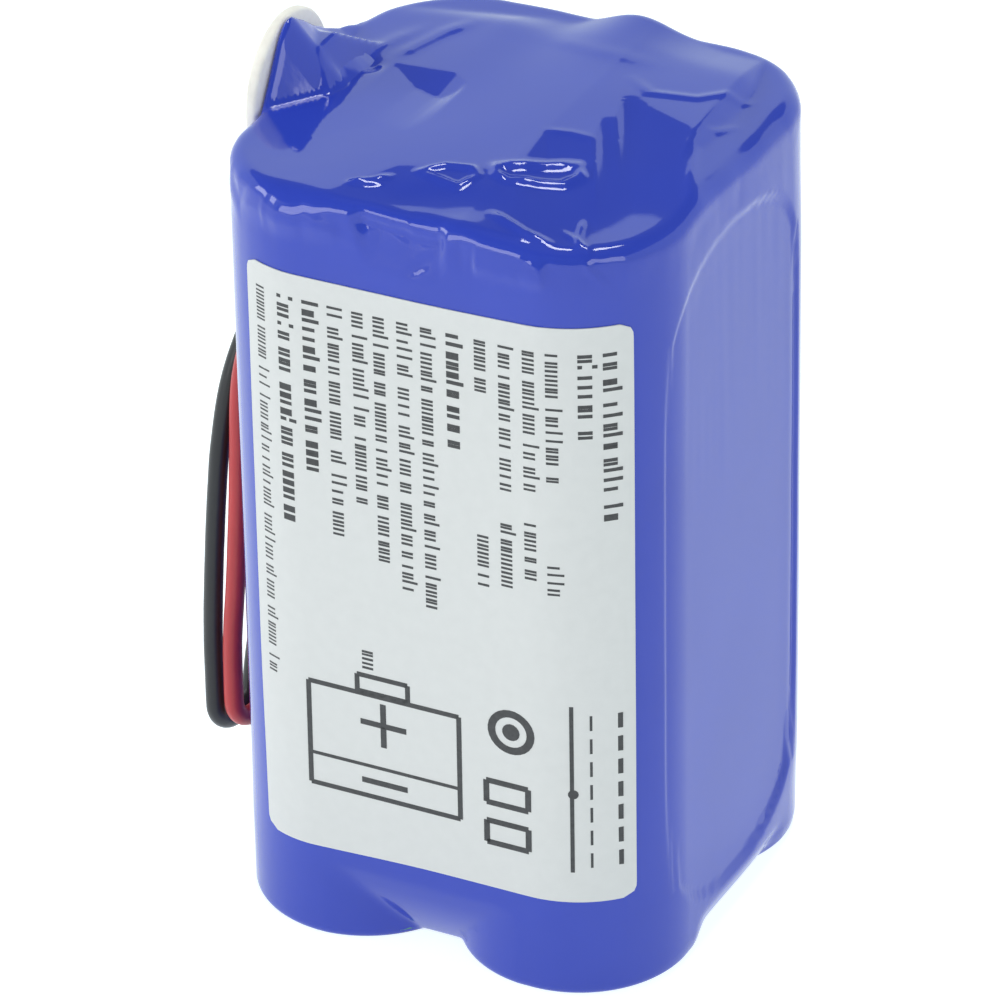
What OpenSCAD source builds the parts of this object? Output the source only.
// Shrink-wrapped battery pack of four round cells (two in series, two in parallel)
// with a protection board in the left valley and two flying leads folded in a U.
// Origin: centre of the resting face. +X right along the labelled face, -Y the
// labelled face, +Z up along the cells.

/* [Cells] */
// Diameter of the bare steel can
can_d = 18.2; // [17.8:0.05:18.3]
// Length of one cell over its cap
cell_len = 65.0; // [64.5:0.1:65.5]
// Thickness of the plastic sleeve on each cell
sleeve_t = 0.1; // [0.08:0.01:0.12]
// Distance between neighbouring cell axes
pitch = 18.7; // [18.65:0.05:19.2]

/* [Wrap] */
// Thickness of the shrink film
film_t = 0.18; // [0.12:0.01:0.2]
// Width of the film's folded-in rim on the bottom end
rim_w = 4.5; // [3:0.5:6]
// Height of the raised film corner over the protection board, above the roof
peak_h = 3.75; // [3.5:0.05:4.5]

/* [Label] */
// Height of the label
label_h = 51; // [45:1:54]
// Height of the label's lower edge above the resting face
label_z = 9; // [7:0.5:11]
// Left edge of the label, seen from the front
label_left = -14.3; // [-15:0.1:-13]
// Right edge of the label, seen from the front
label_right = 16.95; // [15:0.05:17]

/* [Strips] */
// Thickness of the nickel strips
nickel_t = 0.15; // [0.1:0.01:0.15]
// Width of the nickel strips
nickel_w = 8; // [6:0.5:9]

/* [Protection board] */
// Length of the board
board_l = 42.2; // [40:0.1:42.5]
// Width of the board
board_w = 5.6; // [5:0.1:5.8]
// Thickness of the board
board_t = 0.8; // [0.6:0.1:0.8]

/* [Leads] */
// Outer diameter of a lead's jacket
lead_d = 1.6; // [1.5:0.05:1.6]
// Diameter of the stranded core
core_d = 0.76; // [0.6:0.02:0.8]
// Diameter of the tinned end, solder included
tinned_d = 0.84; // [0.84:0.02:0.9]
// Height of the bottom of the U-bend above the resting face
bend_z = 7.6; // [7:0.1:9]
// Radius of the U-bend on the lead's centre line
bend_r = 2.4; // [2.2:0.1:2.6]
// Length of the straight returning lead
return_l = 27; // [20:1:30]
// Bare tinned length at the end of a lead
tinned_l = 5; // [4:0.5:6]

/* [Hidden] */
$fn = 96;
node = "all";
gap = 0.01;                     // running gap between stacked pieces
fit = 0.02;                     // wider gap, round the block and at the board
hair = 0.005;                   // finest gap, at welds and solder
over = 1;                       // how far a cutter runs past what it cuts
axis = pitch / 2;               // cell axes stand at (+-axis, +-axis)
can_r = can_d / 2;
cell_r = can_r + sleeve_t;      // cell with its sleeve
film_r = cell_r + fit + film_t;
half_w = axis + film_r;         // half the width of the wrapped block

// heights of the stack, from the resting face up
sheet_t = 0.2;                  // insulating sheets
bot_sheet_z = film_t + gap;
bot_nickel_z = bot_sheet_z + sheet_t + gap;
cell_z = bot_nickel_z + nickel_t + gap;
cell_h = cell_len + 2 * sleeve_t;
top_nickel_z = cell_z + cell_h + gap;
top_sheet_z = top_nickel_z + nickel_t + gap;
roof_in = top_sheet_z + sheet_t + fit;
roof = roof_in + film_t;

// faces of the protection board
board_x = -16.45;               // inner (right) face
board_z = 27;                   // lower end
contact_x = board_x + fit;      // left face of what lies against the inner face
parts_x = board_x - board_t - hair; // parts on the outer (left) face start here

// front-left, front-right and so on: name, side in x, side in y
CORNERS = [["front_left", -1, -1], ["front_right", 1, -1],
    ["rear_left", -1, 1], ["rear_right", 1, 1]];

// leads: name, jacket colour, y at the board, [x, y] of the long leg, tilt of the
// sweep out to it, [reach to the front, width] of the solder mound
LEADS = [
    ["red", "firebrick", -2.7, [-23.8, -5.2], 8.5, [0.55, 1.35]],
    ["black", "black", 0.15, [-25.7, -4.87], 14, [0.8, 1.6]]];

NODES = ["shrink_film", "front_label", "lead_exit_pad",
    "top_insulator", "bottom_insulator", "board_insulator", "tap_sleeve",
    "protection_board", "power_switches", "protection_chip",
    "chip_resistors", "chip_capacitors", "solder_joints",
    "nickel_strip_positive", "nickel_strip_negative", "nickel_series_plate",
    "nickel_centre_tap", "hot_melt_plugs",
    "can_front_left", "sleeve_front_left", "cap_front_left",
    "gasket_front_left", "washer_front_left", "electrode_roll_front_left",
    "can_front_right", "sleeve_front_right", "cap_front_right",
    "gasket_front_right", "washer_front_right", "electrode_roll_front_right",
    "can_rear_left", "sleeve_rear_left", "cap_rear_left",
    "gasket_rear_left", "washer_rear_left", "electrode_roll_rear_left",
    "can_rear_right", "sleeve_rear_right", "cap_rear_right",
    "gasket_rear_right", "washer_rear_right", "electrode_roll_rear_right",
    "red_jacket_exit", "red_jacket_down", "red_jacket_return",
    "red_core_exit", "red_core_down", "red_core_return", "red_tinned_end",
    "black_jacket_exit", "black_jacket_down", "black_jacket_return",
    "black_core_exit", "black_core_down", "black_core_return", "black_tinned_end"];

// ---------- shared shapes ----------

// sets its children on the four cell axes at height z
module at_cells(z) {
    for (x = [-axis, axis], y = [-axis, axis]) translate([x, y, z]) children();
}

module tube(outer_r, bore_r, h) {
    difference() {
        cylinder(r = outer_r, h = h);
        translate([0, 0, -over]) cylinder(r = bore_r, h = h + 2 * over);
    }
}

// solid square block with round corners, larger than the film by grow all round
module block(grow, z0, z1) {
    r = film_r + grow;
    at_cells(z0) cylinder(r = r, h = z1 - z0);
    translate([-axis - r, -axis, z0]) cube([2 * (axis + r), 2 * axis, z1 - z0]);
    translate([-axis, -axis - r, z0]) cube([2 * axis, 2 * (axis + r), z1 - z0]);
}

// ---------- wrap ----------

tent_base_z = 60;               // flat bottom of the tent, inside the block
tent_foot_x = -8.6;             // where its right slope ends
tent_foot_y = 9.3;              // where its front and rear slopes end
tent_foot_drop = 0.3;           // how far the slopes end below the roof
tent_half_y = 9.5;
ridge_x = -15.9;                // right end of the flat top
ridge_half_y = 3.5;
tent_chamfer = 0.6;             // on the upper left edge

slot_z = [55.0, 59.3];          // slot in the film where the leads leave
slot_y = [-3.8, 1.3];

// raised corner of the film over the board's end: a hipped tent, smaller by inset
module tent(inset) {
    wall_x = -half_w + inset;
    top_z = roof + peak_h - inset;
    foot_z = roof - tent_foot_drop - inset;
    shift = 1.2 * inset;        // moves the slopes in
    ridge_y = ridge_half_y - shift;
    intersection() {
        translate([0, tent_half_y, 0]) rotate([90, 0, 0]) linear_extrude(2 * tent_half_y)
            polygon([[wall_x, tent_base_z], [wall_x, top_z - tent_chamfer],
                [wall_x + tent_chamfer, top_z], [ridge_x - shift, top_z],
                [tent_foot_x, foot_z], [tent_foot_x, tent_base_z]]);
        translate([-30, 0, 0]) rotate([90, 0, 90]) linear_extrude(30)
            polygon([[-tent_foot_y, tent_base_z], [-tent_foot_y, foot_z], [-ridge_y, top_z],
                [ridge_y, top_z], [tent_foot_y, foot_z], [tent_foot_y, tent_base_z]]);
    }
}

module shrink_film() {
    color("royalblue") difference() {
        union() {
            block(0, 0, roof);
            tent(0);
        }
        block(-film_t, film_t, roof_in);
        tent(film_t);
        // opening inside the folded rim on the bottom end
        block(-rim_w, -over, film_t + over);
        translate([-half_w - over, slot_y[0], slot_z[0]])
            cube([2 * over, slot_y[1] - slot_y[0], slot_z[1] - slot_z[0]]);
    }
}

label_out = 0.10;               // outer face of the label beyond the film
label_corner_r = 1;

// thin shell round the block, cut to the label's outline on the front
module front_label() {
    color("whitesmoke") intersection() {
        difference() {
            block(label_out, label_z, label_z + label_h);
            block(gap, label_z - over, label_z + label_h + over);
        }
        translate([0, -axis, 0]) rotate([90, 0, 0]) linear_extrude(20)
            translate([label_left + label_corner_r, label_z + label_corner_r])
                grown_rect(label_right - label_left - 2 * label_corner_r,
                    label_h - 2 * label_corner_r, label_corner_r);
    }
}

// rectangle w x h grown by r with round corners
module grown_rect(w, h, r) {
    for (x = [0, w], y = [0, h]) translate([x, y]) circle(r = r);
    translate([-r, 0]) square([w + 2 * r, h]);
    translate([0, -r]) square([w, h + 2 * r]);
}

pad_t = 0.95;
pad_off = 1.0;                  // left face of the pad beyond the film
pad_y = -1.1;
pad_r = 6.2;                    // round top, and half the pad's width
pad_centre_z = 65.8;
pad_corner_r = 1;               // lower corners
pad_bottom_z = slot_z[1] + 0.3;

// pad with a round top that stands on the left flank above the slot
module lead_exit_pad() {
    corner_y = pad_r - pad_corner_r;
    corner_z = pad_bottom_z + pad_corner_r;
    color("linen") translate([-half_w - pad_off, pad_y, 0]) {
        translate([0, 0, pad_centre_z]) rotate([0, 90, 0]) cylinder(r = pad_r, h = pad_t);
        translate([0, -pad_r, corner_z]) cube([pad_t, 2 * pad_r, pad_centre_z - corner_z]);
        translate([0, -corner_y, pad_bottom_z])
            cube([pad_t, 2 * corner_y, pad_corner_r + 0.1]);
        for (y = [-corner_y, corner_y])
            translate([0, y, corner_z]) rotate([0, 90, 0]) cylinder(r = pad_corner_r, h = pad_t);
    }
}

// ---------- sheets ----------

top_sheet_inset = 1.1;          // edge of the upper sheet inside the film
notch_x = -15.7;                // right end of the notch for the board
notch_half_y = 3.6;
disc_inset = 0.15;              // lower sheet's discs inside the cells
bot_square = 27.2;              // square that joins the discs
board_sheet_w = 5.8;
board_sheet_z = 31;
board_sheet_h = 34;

module top_insulator() {
    color("palegoldenrod") difference() {
        block(-film_t - top_sheet_inset, top_sheet_z, top_sheet_z + sheet_t);
        translate([-30, -notch_half_y, top_sheet_z - over])
            cube([30 + notch_x, 2 * notch_half_y, sheet_t + 2 * over]);
    }
}

// the lower sheet keeps clear of the valleys between the cells
module bottom_insulator() {
    color("palegoldenrod") translate([0, 0, bot_sheet_z]) union() {
        at_cells(0) cylinder(r = cell_r - disc_inset, h = sheet_t);
        translate([-bot_square / 2, -bot_square / 2, 0]) cube([bot_square, bot_square, sheet_t]);
    }
}

module board_insulator() {
    color("palegoldenrod") translate([contact_x, -board_sheet_w / 2, board_sheet_z])
        cube([sheet_t, board_sheet_w, board_sheet_h]);
}

// ---------- nickel ----------

stud_ring_r = 1.7;              // weld studs stand on this radius
stud_r = 0.45;
stud_root = 0.05;               // depth of a stud in its strip
slit_l = 5.2;                   // welding slits
slit_w = 0.7;
tab_inner_y = 0.7;              // upright tab at the board, distances from y = 0
tab_outer_y = 2.7;
tab_h = 2.5;
tap_w = 3;                      // centre tap
tap_top_z = 30;
tap_sleeve_z = 3;
tap_sleeve_h = 23;

// four shallow weld studs round an axis
module studs(h) {
    for (k = [0:3]) rotate([0, 0, 45 + 90 * k]) translate([stud_ring_r, 0, 0])
        cylinder(r = stud_r, h = h);
}

module weld_slit() {
    translate([-slit_l / 2, -slit_w / 2, -over]) cube([slit_l, slit_w, 2 * over]);
}

// strip that joins a pair of cells on the top, with a tab to the board;
// side = -1 front, 1 rear
module top_strip(side) {
    y = side * axis;
    inner = side * tab_inner_y;
    outer = side * tab_outer_y;
    color("silver") union() {
        difference() {
            union() {
                translate([-axis, y - nickel_w / 2, top_nickel_z])
                    cube([2 * axis, nickel_w, nickel_t]);
                for (x = [-axis, axis]) translate([x, y, top_nickel_z])
                    cylinder(r = nickel_w / 2, h = nickel_t);
                // arm to the board
                translate([0, 0, top_nickel_z]) linear_extrude(nickel_t)
                    polygon([[-axis - 2.4, y], [-axis + 1.4, y], [-13.2, inner],
                        [contact_x, inner], [contact_x, outer], [-14.8, outer]]);
            }
            for (x = [-axis, axis]) translate([x, y, top_nickel_z]) weld_slit();
        }
        // tab standing against the board
        translate([contact_x, min(inner, outer), top_nickel_z])
            cube([nickel_t, tab_outer_y - tab_inner_y, tab_h]);
        for (x = [-axis, axis]) translate([x, y, cell_z + cell_len + sleeve_t + hair])
            studs(sleeve_t + gap + stud_root);
    }
}

module nickel_strip_positive() { top_strip(-1); }
module nickel_strip_negative() { top_strip(1); }

// square frame under all four cells
module nickel_series_plate() {
    color("silver") union() {
        difference() {
            union() {
                for (place = [-axis, axis]) {
                    translate([-axis, place - nickel_w / 2, bot_nickel_z])
                        cube([2 * axis, nickel_w, nickel_t]);
                    translate([place - nickel_w / 2, -axis, bot_nickel_z])
                        cube([nickel_w, 2 * axis, nickel_t]);
                }
                at_cells(bot_nickel_z) cylinder(r = nickel_w / 2, h = nickel_t);
            }
            at_cells(bot_nickel_z) weld_slit();
        }
        at_cells(bot_nickel_z + nickel_t - stud_root) studs(sleeve_t + gap + stud_root - hair);
    }
}

// strip from the series plate up the valley to the board's lower end
module nickel_centre_tap() {
    color("silver") translate([contact_x, -tap_w / 2, bot_nickel_z]) {
        cube([-axis - nickel_w / 2 - gap - contact_x, tap_w, nickel_t]);
        cube([nickel_t, tap_w, tap_top_z - bot_nickel_z]);
    }
}

// flat tube round the upright of the centre tap
module tap_sleeve() {
    outer_w = tap_w + 0.4;
    bore_w = tap_w + 0.1;
    color("goldenrod") difference() {
        translate([contact_x - 0.1, -outer_w / 2, tap_sleeve_z])
            cube([nickel_t + 0.2, outer_w, tap_sleeve_h]);
        translate([contact_x - gap, -bore_w / 2, tap_sleeve_z - over])
            cube([nickel_t + 2 * gap, bore_w, tap_sleeve_h + 2 * over]);
    }
}

// two tubes on the pack's axis, between the four cells
module hot_melt_plugs() {
    color("wheat") for (z = [10, 48]) translate([0, 0, z])
        tube(outer_r = 3.85, bore_r = 1.2, h = 8);
}

// ---------- cells ----------
// Drawn with the bare can standing on z = 0 and the cap up.
// The outlines' columns are radius and height.

// places a cell at its corner; the rear pair stands on its caps
module place_cell(corner) {
    flip = corner[2] > 0;
    translate([corner[1] * axis, corner[2] * axis, cell_z + (flip ? cell_h : 0)])
        rotate([flip ? 180 : 0, 0, 0]) translate([0, 0, sleeve_t]) children();
}

// the can: flat bottom, groove below the rim, rim rolled in over the gasket
module can() {
    top = cell_len;
    color("gainsboro") rotate_extrude() polygon([
        // outside, from the bottom up
        [0, 0], [can_r - 0.5, 0], [can_r, 0.5], [can_r, top - 4.6],
        [can_r - 1.0, top - 4.2], [can_r - 1.0, top - 3.8], [can_r, top - 3.4],
        [can_r, top - 1.0], [can_r - 0.5, top - 0.45], [can_r - 1.9, top - 0.45],
        // inside, from the rim down
        [can_r - 1.9, top - 0.7], [can_r - 0.6, top - 0.7], [can_r - 0.25, top - 1.1],
        [can_r - 0.25, top - 3.25], [can_r - 1.25, top - 3.65], [can_r - 1.25, top - 4.35],
        [can_r - 0.25, top - 4.75], [can_r - 0.25, 0.6], [can_r - 0.6, 0.3], [0, 0.3]]);
}

// C-shaped ring between the can's rim and the cap
module gasket() {
    top = cell_len;
    color("ivory") rotate_extrude() polygon([
        [can_r - 2.3, top - 3.2], [can_r - 0.35, top - 3.2], [can_r - 0.35, top - 1.15],
        [can_r - 0.7, top - 0.75], [can_r - 2.3, top - 0.75], [can_r - 2.3, top - 1.15],
        [can_r - 0.85, top - 1.15], [can_r - 0.85, top - 2.6], [can_r - 2.3, top - 2.6]]);
}

module cap() {
    top = cell_len;
    color("silver") rotate_extrude() polygon([
        [0, top - 0.3], [3.6, top - 0.3], [4.3, top - 1.6], [can_r - 0.9, top - 1.6],
        [can_r - 0.9, top - 1.2], [4.5, top - 1.2], [4.1, top - 0.2], [3.9, top], [0, top]]);
}

module washer() {
    color("white") translate([0, 0, cell_len - 0.43])
        tube(outer_r = can_r - 0.25, bore_r = 4.7, h = 0.2);
}

module electrode_roll() {
    color("dimgray") translate([0, 0, 0.6])
        tube(outer_r = can_r - 0.45, bore_r = 1.5, h = cell_len - 6.2);
}

// plastic sleeve with both ends folded over the can
module sleeve() {
    color("seagreen") difference() {
        translate([0, 0, -sleeve_t]) cylinder(r = cell_r, h = cell_h - 0.12);
        cylinder(r = can_r + gap, h = cell_len - 0.2);
        // openings in the folded ends
        translate([0, 0, -1]) cylinder(r = can_r - 1.3, h = 2);
        translate([0, 0, cell_len - 2]) cylinder(r = can_r - 1.6, h = 3);
    }
}

// ---------- protection board ----------

board_cut_h = 2.9;              // height of the cut upper corners
board_tip_w = 2.7;              // width left between them
hole_y = 2.25;                  // holes near both ends of the board
hole_r = 0.25;
leg_w = 0.22;                   // chip legs
leg_t = 0.12;

module protection_board() {
    color("darkgreen") difference() {
        translate([board_x - board_t, 0, board_z]) rotate([90, 0, 90]) linear_extrude(board_t)
            polygon([[-board_w / 2, 0], [board_w / 2, 0],
                [board_w / 2, board_l - board_cut_h], [board_tip_w / 2, board_l],
                [-board_tip_w / 2, board_l], [-board_w / 2, board_l - board_cut_h]]);
        for (y = [-hole_y, hole_y], z = [28.2, 65.6])
            translate([board_x - over, y, z]) rotate([0, 90, 0])
                cylinder(r = hole_r, h = 2 * over);
    }
}

// bar of a chip's leg from z0 to z1; side = -1 turns it to the lower end
module leg_bar(side, x, depth, z0, z1) {
    translate([x, -leg_w / 2, side > 0 ? z0 : -z1]) cube([depth, leg_w, z1 - z0]);
}

// moulded chip that rises towards -X: a body l along z, w along y and h high, with
// legs in rows at its upper and lower ends
module chip(l, w, h, legs, leg_pitch) {
    lift = 0.08;                // body above the board
    bend = l / 2 + 0.2;         // where the legs turn down to the board
    translate([-h, -w / 2, -l / 2]) cube([h - lift, w, l]);
    for (side = [-1, 1], k = [0:legs - 1])
        translate([0, (k - (legs - 1) / 2) * leg_pitch, 0]) {
            leg_bar(side, -leg_t, leg_t, bend, bend + 0.6);
            leg_bar(side, -h / 2, leg_t, l / 2 - 0.05, bend + leg_t);
            leg_bar(side, -h / 2, h / 2, bend, bend + leg_t);
        }
}

module power_switches() {
    color("dimgray") for (z = [45.5, 53.2]) translate([parts_x, 0, z])
        chip(l = 4.4, w = 3.0, h = 1.0, legs = 4, leg_pitch = 0.65);
}

module protection_chip() {
    color("dimgray") translate([parts_x, 0.6, 37.6])
        chip(l = 1.6, w = 2.9, h = 1.1, legs = 3, leg_pitch = 0.95);
}

// two-ended part 1.6 x 0.8, h high, with end caps raised from its body
module chip_part(h) {
    body_l = 1.0;
    body_w = 0.8;
    cap_l = 0.3;
    raise = 0.03;
    cap_w = 0.84;
    translate([-h, -body_w / 2, -body_l / 2]) cube([h, body_w, body_l]);
    for (z = [-body_l / 2 - cap_l, body_l / 2])
        translate([-h - raise, -cap_w / 2, z]) cube([h + raise, cap_w, cap_l]);
}

module chip_resistors() {
    color("black") for (y = [-1.6, 0, 1.6]) translate([parts_x, y, 33.0]) chip_part(0.45);
}

module chip_capacitors() {
    color("tan") for (place = [[-2.1, 37.6], [1.6, 41.2]])
        translate([parts_x, place[0], place[1]]) chip_part(0.75);
}

// cone of solder on the inner side of a nickel strip
module fillet(y, z, r1, r2) {
    translate([contact_x + nickel_t + gap, y, z]) rotate([0, 90, 0])
        cylinder(r1 = r1, r2 = r2, h = 0.35);
}

module solder_joints() {
    mound_t = 1.0;
    mound_z = 60.7;
    mound_h = 2.6;
    color("lightgray") {
        for (side = [-1, 1])
            fillet(side * (tab_inner_y + tab_outer_y) / 2, top_nickel_z + 1.3, r1 = 0.8, r2 = 0.5);
        fillet(0, 28.5, r1 = 1.1, r2 = 0.7);
        // mounds over the two cores
        for (wire = LEADS) difference() {
            translate([parts_x - mound_t, wire[2] - wire[5][0], mound_z])
                cube([mound_t, wire[5][1], mound_h]);
            translate([core_x, wire[2], 55]) cylinder(r = core_r + hair, h = 12);
        }
    }
}

// ---------- leads ----------

lead_fn = 48;
jacket_r = lead_d / 2;
core_r = core_d / 2;
bore_clear = 0.012;             // bore of the jacket round the core
bore_over = 0.5;                // bore past the jacket's ends

core_x = board_x - board_t - core_r - fit;
core_top_z = 64;
pad_run = 4;                    // straight core down the board
exit_r = 2;                     // two bends that carry the lead out to lead_x
exit_angle = 40;
lead_x = -19.9;
flex_z = 54.9;                  // middle of the open gap below the exit
flex_gap = 1.8;
sweep_start = 0.4;              // straight before the sweep
sweep_r = 8;                    // sweep out to the long leg
bend_gap = 2.5;                 // arc left open at the bottom of the U
back_dir = 80;                  // heading of the U, degrees from +X towards +Y
lean = 12;                      // returning lead off the vertical
mouth_l = 0.6;                  // swelling end of the returning jacket
mouth_swell = 1.02;

exit_l = (core_x - lead_x - 2 * exit_r * (1 - cos(exit_angle))) / sin(exit_angle);
exit_end_z = core_top_z - pad_run - 2 * exit_r * sin(exit_angle) - exit_l * cos(exit_angle);

// [slanting length, height lost, heading] of the sweep out to the long leg
function sweep(wire) =
    let (offset = wire[3] - [lead_x, wire[2]], tilt = wire[4],
         l = (norm(offset) - 2 * sweep_r * (1 - cos(tilt))) / sin(tilt))
    [l, 2 * sweep_r * sin(tilt) + l * cos(tilt), (atan2(offset[1], offset[0]) + 360) % 360];

// A lead is a list of steps drawn one after another along local +Z:
// ["L", length], ["C", length] swelling by mouth_swell, ["B", radius, angle
// towards local +X], ["T", turn about the lead]
function steps(wire) =
    let (out = sweep(wire), tilt = wire[4], open = bend_gap / 2 / bend_r * 180 / PI,
         down_l = flex_z - flex_gap / 2 - sweep_start - out[1] - (bend_z + bend_r))
    [["L", pad_run], ["B", exit_r, exit_angle], ["L", exit_l],          // 0 to 2
     ["B", exit_r, -exit_angle], ["L", exit_end_z - flex_z - flex_gap / 2], // 3, 4
     ["L", flex_gap],                                                   // 5
     ["T", 180 - out[2]], ["L", sweep_start],                           // 6, 7
     ["B", sweep_r, tilt], ["L", out[0]], ["B", sweep_r, -tilt],        // 8 to 10
     ["L", down_l], ["T", out[2] - back_dir],                           // 11, 12
     ["B", bend_r, 90 - open], ["B", bend_r, 2 * open],                 // 13, 14
     ["B", bend_r, 90 - open - lean],                                   // 15
     ["L", return_l - mouth_l], ["C", mouth_l], ["L", tinned_l]];       // 16 to 18

// first and last step of each stretch; steps 5 and 14 stay open
CORE_EXIT = [0, 4];
JACKET_EXIT = [2, 4];
DOWN = [7, 13];
CORE_RETURN = [15, 16];
JACKET_RETURN = [15, 17];
MOUTH = [17, 17];
TINNED = [18, 18];

module bend(centre_r, angle, r) {
    rotate([0, 0, angle > 0 ? 180 : 0]) translate([-centre_r, 0, 0]) rotate([90, 0, 0])
        rotate_extrude(angle = abs(angle)) translate([centre_r, 0]) circle(r = r, $fn = lead_fn);
}

// draws the stretch of the path with radius r and moves along the steps before it,
// sets a bead where two steps meet, and runs past both ends by extra
module run(path, stretch, r, bead_r, extra, i = 0) {
    first = stretch[0];
    last = stretch[1];
    if (i == first && extra > 0) {
        translate([0, 0, -extra]) cylinder(r = r, h = extra, $fn = lead_fn);
        sphere(r = bead_r, $fn = lead_fn);
    }
    if (i > first && i <= last && path[i][0] != "T") sphere(r = bead_r, $fn = lead_fn);
    if (i == last + 1 && extra > 0) {
        sphere(r = bead_r, $fn = lead_fn);
        cylinder(r = r, h = extra, $fn = lead_fn);
    }
    if (i <= last) {
        kind = path[i][0];
        size = path[i][1];
        if (kind == "L" || kind == "C") {
            if (i >= first)
                cylinder(r1 = r, r2 = kind == "L" ? r : r * mouth_swell, h = size, $fn = lead_fn);
            translate([0, 0, size]) run(path, stretch, r, bead_r, extra, i + 1);
        } else if (kind == "T") {
            rotate([0, 0, size]) run(path, stretch, r, bead_r, extra, i + 1);
        } else {
            angle = path[i][2];
            side = angle > 0 ? 1 : -1;
            if (i >= first) bend(size, angle, r);
            translate([side * size * (1 - cos(abs(angle))), 0, size * sin(abs(angle))])
                rotate([0, angle, 0]) run(path, stretch, r, bead_r, extra, i + 1);
        }
    }
}

// a stretch of a lead, from the core's top down; bead = radius of the beads beyond r
module lead(wire, stretch, r, bead = 0, extra = 0) {
    translate([core_x, wire[2], core_top_z]) rotate([0, 0, 180]) rotate([180, 0, 0])
        run(steps(wire), stretch, r, r + bead, extra);
}

module jacket(wire, stretch) {
    color(wire[1]) difference() {
        lead(wire, stretch, jacket_r, bead = 0.006);
        lead(wire, stretch, core_r + bore_clear, bead = 0.005, extra = bore_over);
    }
}

module core(wire, stretch) {
    color("chocolate") lead(wire, stretch, core_r, bead = 0.004);
}

module jacket_exit(wire) { jacket(wire, JACKET_EXIT); }
module jacket_down(wire) { jacket(wire, DOWN); }
module jacket_return(wire) { jacket(wire, JACKET_RETURN); }
module core_exit(wire) { core(wire, CORE_EXIT); }
module core_down(wire) { core(wire, DOWN); }
module core_return(wire) { core(wire, CORE_RETURN); }

// the tinned pin, and its root, which swells a little inside the jacket's mouth
module tinned_end(wire) {
    color("silver") {
        lead(wire, TINNED, tinned_d / 2);
        lead(wire, MOUTH, core_r);
    }
}

// ---------- nodes ----------

function shown(name) = node == "all" || node == name;

if (shown("shrink_film")) shrink_film();
if (shown("front_label")) front_label();
if (shown("lead_exit_pad")) lead_exit_pad();
if (shown("top_insulator")) top_insulator();
if (shown("bottom_insulator")) bottom_insulator();
if (shown("board_insulator")) board_insulator();
if (shown("tap_sleeve")) tap_sleeve();
if (shown("protection_board")) protection_board();
if (shown("power_switches")) power_switches();
if (shown("protection_chip")) protection_chip();
if (shown("chip_resistors")) chip_resistors();
if (shown("chip_capacitors")) chip_capacitors();
if (shown("solder_joints")) solder_joints();
if (shown("nickel_strip_positive")) nickel_strip_positive();
if (shown("nickel_strip_negative")) nickel_strip_negative();
if (shown("nickel_series_plate")) nickel_series_plate();
if (shown("nickel_centre_tap")) nickel_centre_tap();
if (shown("hot_melt_plugs")) hot_melt_plugs();
for (corner = CORNERS) {
    if (shown(str("can_", corner[0]))) place_cell(corner) can();
    if (shown(str("sleeve_", corner[0]))) place_cell(corner) sleeve();
    if (shown(str("cap_", corner[0]))) place_cell(corner) cap();
    if (shown(str("gasket_", corner[0]))) place_cell(corner) gasket();
    if (shown(str("washer_", corner[0]))) place_cell(corner) washer();
    if (shown(str("electrode_roll_", corner[0]))) place_cell(corner) electrode_roll();
}
for (wire = LEADS) {
    if (shown(str(wire[0], "_jacket_exit"))) jacket_exit(wire);
    if (shown(str(wire[0], "_jacket_down"))) jacket_down(wire);
    if (shown(str(wire[0], "_jacket_return"))) jacket_return(wire);
    if (shown(str(wire[0], "_core_exit"))) core_exit(wire);
    if (shown(str(wire[0], "_core_down"))) core_down(wire);
    if (shown(str(wire[0], "_core_return"))) core_return(wire);
    if (shown(str(wire[0], "_tinned_end"))) tinned_end(wire);
}
